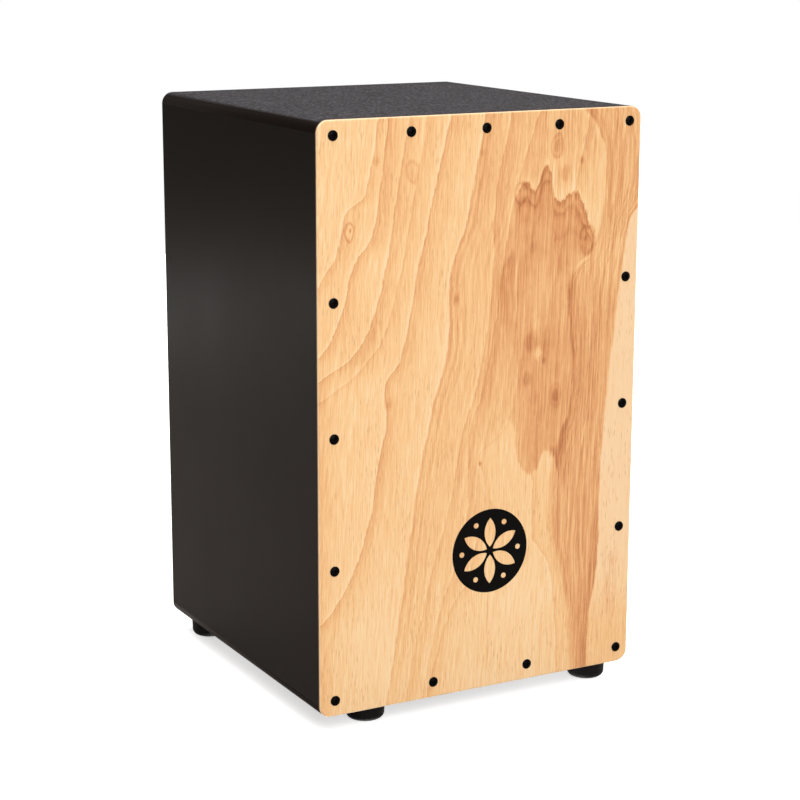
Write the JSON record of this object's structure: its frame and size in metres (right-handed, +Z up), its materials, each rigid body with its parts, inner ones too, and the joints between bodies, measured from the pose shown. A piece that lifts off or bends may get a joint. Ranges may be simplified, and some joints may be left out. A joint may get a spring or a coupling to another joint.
{
  "type": "cajon",
  "caption": "Upright box drum with a thin light-wood playing face screwed to a black box, rubber feet, a rear sound hole and inner snare wires.",
  "frame": {"origin": "on the floor under the middle of the whole drum's bounding box", "axes": "+X to the viewer's right when looking at the playing face, -Y out of the playing face, +Y out of the rear sound hole, +Z up"},
  "size_m": [0.3, 0.3098, 0.499],
  "materials": {
    "veneer": "satin clear lacquer over pale ash-like veneer",
    "black_lacquer": "satin black lacquer on fibreboard, fine anti-slip texture on the seat",
    "pine": "raw planed pine",
    "black_steel": "black oxide screw",
    "zinc_steel": "bright zinc plate",
    "snare_steel": "drawn steel wire coil",
    "rubber": "moulded matt rubber"
  },
  "bodies": {
    "root": {"front_plate": "veneer", "left_side_panel": "black_lacquer", "right_side_panel": "black_lacquer", "top_panel": "black_lacquer", "bottom_panel": "black_lacquer", "rear_panel": "black_lacquer", "front_batten_left": "pine", "front_batten_right": "pine", "front_batten_top": "pine", "front_batten_bottom": "pine", "glue_block_top_left": "pine", "glue_block_top_right": "pine", "glue_block_bottom_left": "pine", "glue_block_bottom_right": "pine", "snare_bar": "pine", "face_screws_top": "black_steel", "face_screws_bottom": "black_steel", "face_screws_left": "black_steel", "face_screws_right": "black_steel", "snare_plate_left": "zinc_steel", "snare_plate_right": "zinc_steel", "snare_plate_screws": "zinc_steel", "foot_washers": "zinc_steel", "foot_screws": "zinc_steel", "foot_front_left": "rubber", "foot_front_right": "rubber", "foot_rear_left": "rubber", "foot_rear_right": "rubber"},
    "left_snare": {"snare_wires_left": "snare_steel"},
    "right_snare": {"snare_wires_right": "snare_steel"}
  },
  "joints": [
    {"name": "left_snare_flex", "type": "hinge", "parent": "root", "child": "left_snare", "pos_m": [-0.062, -0.14875, 0.343], "axis": [-0.9781, 0, -0.2079], "range_deg": [0, 4], "stiffness_Nm_per_rad": 0.15, "springref_deg": -2.86},
    {"name": "right_snare_flex", "type": "hinge", "parent": "root", "child": "right_snare", "pos_m": [0.062, -0.14875, 0.343], "axis": [-0.9781, 0, 0.2079], "range_deg": [0, 4], "stiffness_Nm_per_rad": 0.15, "springref_deg": -2.86}
  ]
}
